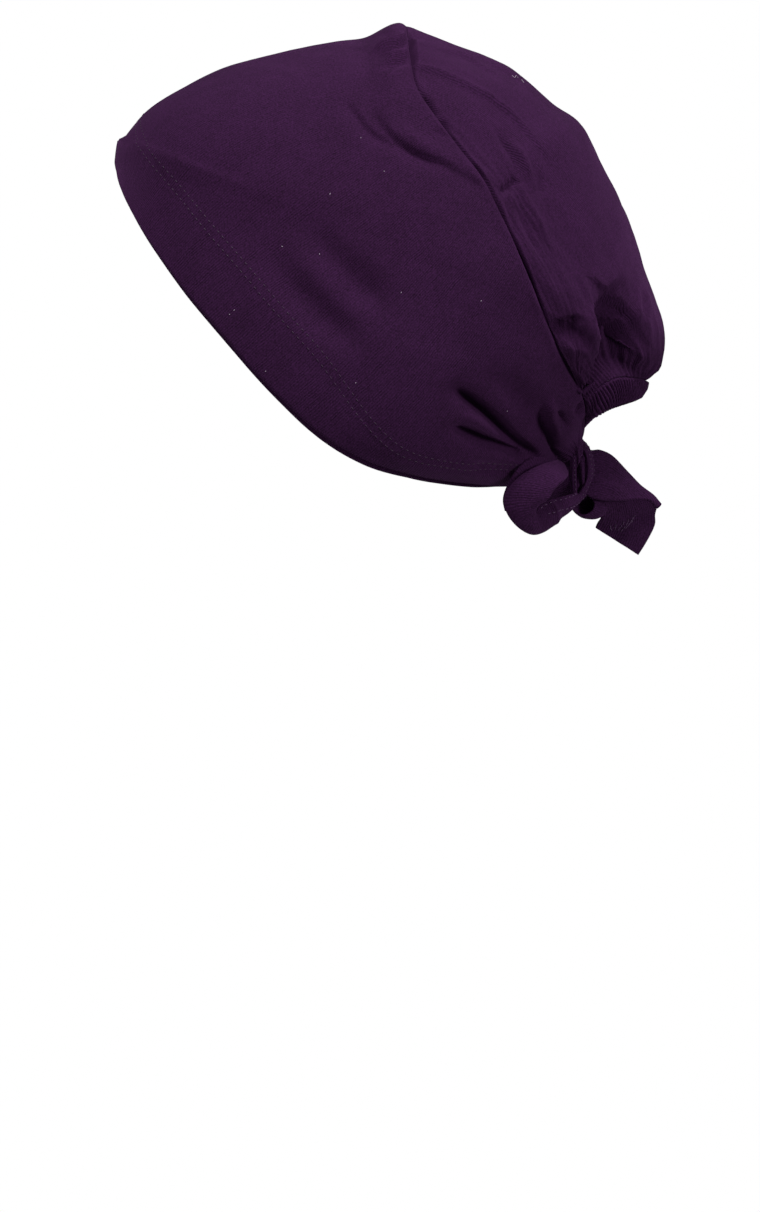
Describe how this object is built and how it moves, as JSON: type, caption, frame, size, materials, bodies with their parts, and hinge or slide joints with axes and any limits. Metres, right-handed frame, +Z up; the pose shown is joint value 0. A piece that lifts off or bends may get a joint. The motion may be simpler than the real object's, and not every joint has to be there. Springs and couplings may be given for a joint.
{
  "type": "tie-back underscarf cap",
  "caption": "Purple jersey underscarf cap with a full crown pouch, a gathered elastic casing and ties knotted at the nape.",
  "frame": {"origin": "inside of the crown on the mid-plane, where the cap sits on the top of the head", "axes": "+X towards the wearer's left, +Y towards the back of the head, +Z up"},
  "size_m": [0.157, 0.2196, 0.2122],
  "materials": {
    "jersey": "matt knitted viscose jersey",
    "casing": "jersey gathered over flat elastic",
    "thread": "spun polyester sewing thread"
  },
  "bodies": {
    "root": {"front_panel": "jersey", "back_panel": "jersey", "elastic_casing": "casing", "knot": "jersey", "knot_loop": "jersey", "left_tie": "jersey", "right_tie": "jersey"}
  },
  "joints": []
}
